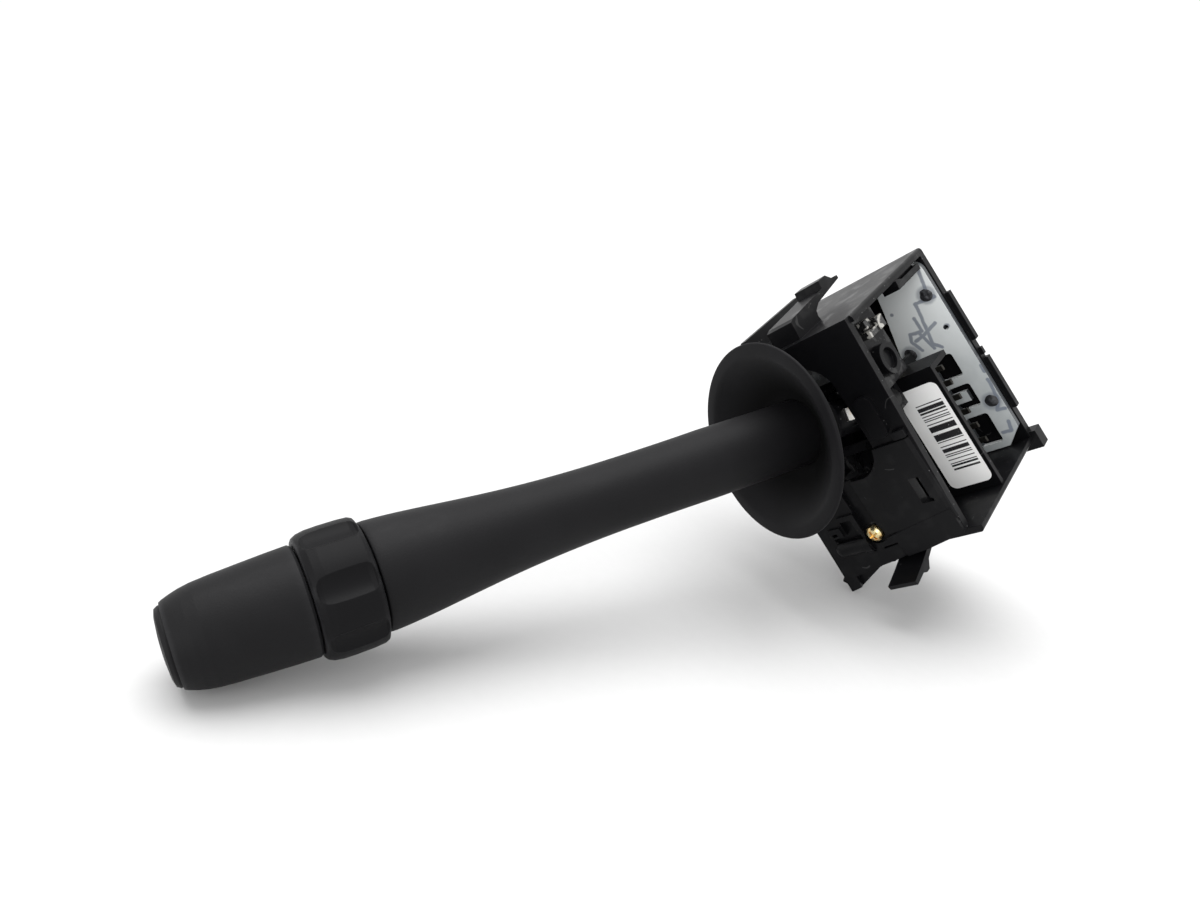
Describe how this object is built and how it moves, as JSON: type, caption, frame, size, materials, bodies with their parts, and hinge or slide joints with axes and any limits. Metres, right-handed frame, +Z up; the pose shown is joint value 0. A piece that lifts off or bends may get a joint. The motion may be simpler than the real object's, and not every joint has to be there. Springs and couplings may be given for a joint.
{
  "type": "combination stalk switch",
  "caption": "Wiper stalk switch: a waisted lever with grip ring, push button and dust cup on a snap-in switch module with connector socket.",
  "frame": {"origin": "middle of the raised seat on the back of the module", "axes": "the part as it lies on a table: +Z up from the table, the lever points to -X, -Y and a little down"},
  "size_m": [0.1896, 0.1426, 0.0906],
  "materials": {
    "case_black": "moulded black, semi gloss",
    "stalk_black": "fine grained matte black",
    "milky_plate": "translucent milky sheet",
    "ivory_plastic": "natural acetal",
    "paper_label": "matt paper",
    "yellow_zinc": "yellow zinc plated",
    "tinned_brass": "tinned",
    "spring_steel": "bright drawn"
  },
  "bodies": {
    "base": {"front_housing": "case_black", "rear_cover": "case_black", "terminal_plate": "milky_plate", "contact_tracks": "tinned_brass", "heat_stakes": "case_black", "connector_socket": "case_black", "terminal_blades": "tinned_brass", "label": "paper_label", "cover_screws": "yellow_zinc", "bearing_frame": "case_black", "fixed_contacts": "ivory_plastic", "detent_block": "ivory_plastic", "swing_pins": "spring_steel"},
    "carrier": {"swing_yoke": "stalk_black", "pull_pin": "spring_steel", "detent_spring": "spring_steel", "detent_plunger": "spring_steel"},
    "slider": {"contact_slider": "ivory_plastic", "slider_bridges": "tinned_brass"},
    "lever": {"lever_core": "stalk_black", "lever_tube": "stalk_black", "dust_cup": "stalk_black", "wash_contact": "tinned_brass", "core_leads": "tinned_brass", "ring_detent_ball": "spring_steel", "ring_detent_spring": "spring_steel", "tip_cap": "stalk_black", "tip_switch": "ivory_plastic", "button_spring": "spring_steel"},
    "ring": {"grip_ring": "stalk_black"},
    "button": {"end_button": "stalk_black"}
  },
  "joints": [
    {"name": "swing", "type": "hinge", "parent": "base", "child": "carrier", "pos_m": [-0.01687, -0.02841, -0.00571], "axis": [0.5191, -0.5789, 0.6288], "range_deg": [-6, 24]},
    {"name": "pull", "type": "hinge", "parent": "carrier", "child": "lever", "pos_m": [-0.01687, -0.02841, -0.00571], "axis": [0.5109, -0.3796, -0.7713], "range_deg": [0, 6], "stiffness_Nm_per_rad": 4, "springref_deg": -6.88},
    {"name": "ring_turn", "type": "hinge", "parent": "lever", "child": "ring", "pos_m": [-0.12596, -0.10454, -0.0405], "axis": [-0.7933, -0.5537, -0.253], "range_deg": [-40, 40]},
    {"name": "button_press", "type": "slide", "parent": "lever", "child": "button", "axis": [0.7933, 0.5537, 0.253], "range_m": [0, 0.002], "stiffness_N_per_m": 400, "springref_m": -0.002, "deforming": ["button_spring"]},
    {"name": "slider_travel", "type": "slide", "parent": "base", "child": "slider", "axis": [-0.7045, 0.1268, 0.6983], "range_m": [-0.0022, 0.0082]}
  ],
  "couplings": [
    {"joint": "slider_travel", "follows": "swing", "m_per_rad": 0.0185}
  ]
}
